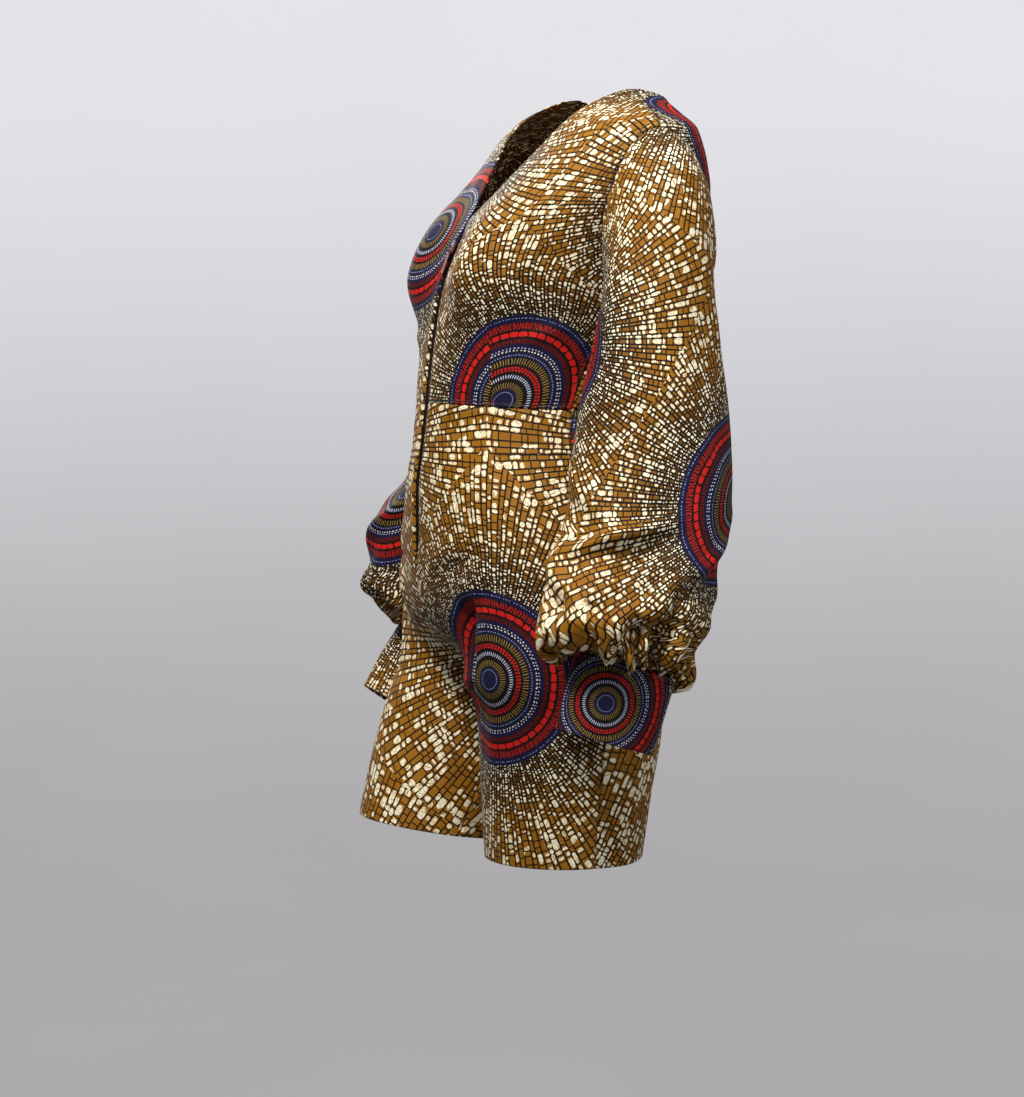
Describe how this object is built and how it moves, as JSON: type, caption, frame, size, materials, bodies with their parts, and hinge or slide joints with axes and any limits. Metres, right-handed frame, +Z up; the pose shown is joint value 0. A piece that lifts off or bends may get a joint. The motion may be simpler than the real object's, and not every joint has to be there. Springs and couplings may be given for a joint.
{
  "type": "jumpsuit",
  "caption": "Short long-sleeved jumpsuit in printed cotton, held open as it is worn, with a V neck, a front zip and gathered sleeves in deep cuffs.",
  "frame": {"origin": "midway between the two shoulder seams, where the wearer's shoulders carry the garment", "axes": "+Z up, the wearer faces -Y, the wearer's left is +X"},
  "size_m": [0.6235, 0.3369, 0.812],
  "materials": {
    "print_cloth": "matte waxed cotton print",
    "zip_tape": "matte woven tape",
    "zip_metal": "satin paint"
  },
  "bodies": {
    "garment": {"bodice_front_left": "print_cloth", "bodice_front_right": "print_cloth", "bodice_back": "print_cloth", "sleeve_left": "print_cloth", "sleeve_right": "print_cloth", "cuff_left": "print_cloth", "cuff_right": "print_cloth", "shorts_front_left": "print_cloth", "shorts_front_right": "print_cloth", "shorts_back_left": "print_cloth", "shorts_back_right": "print_cloth", "zip_tape_left": "zip_tape", "zip_tape_right": "zip_tape", "zip_slider": "zip_metal"},
    "pull_tab": {"zip_pull": "zip_metal"}
  },
  "joints": [
    {"name": "pull_tab_hinge", "type": "hinge", "parent": "garment", "child": "pull_tab", "pos_m": [0, -0.17049, -0.14214], "axis": [-1, 0, 0], "range_deg": [0, 160]}
  ]
}
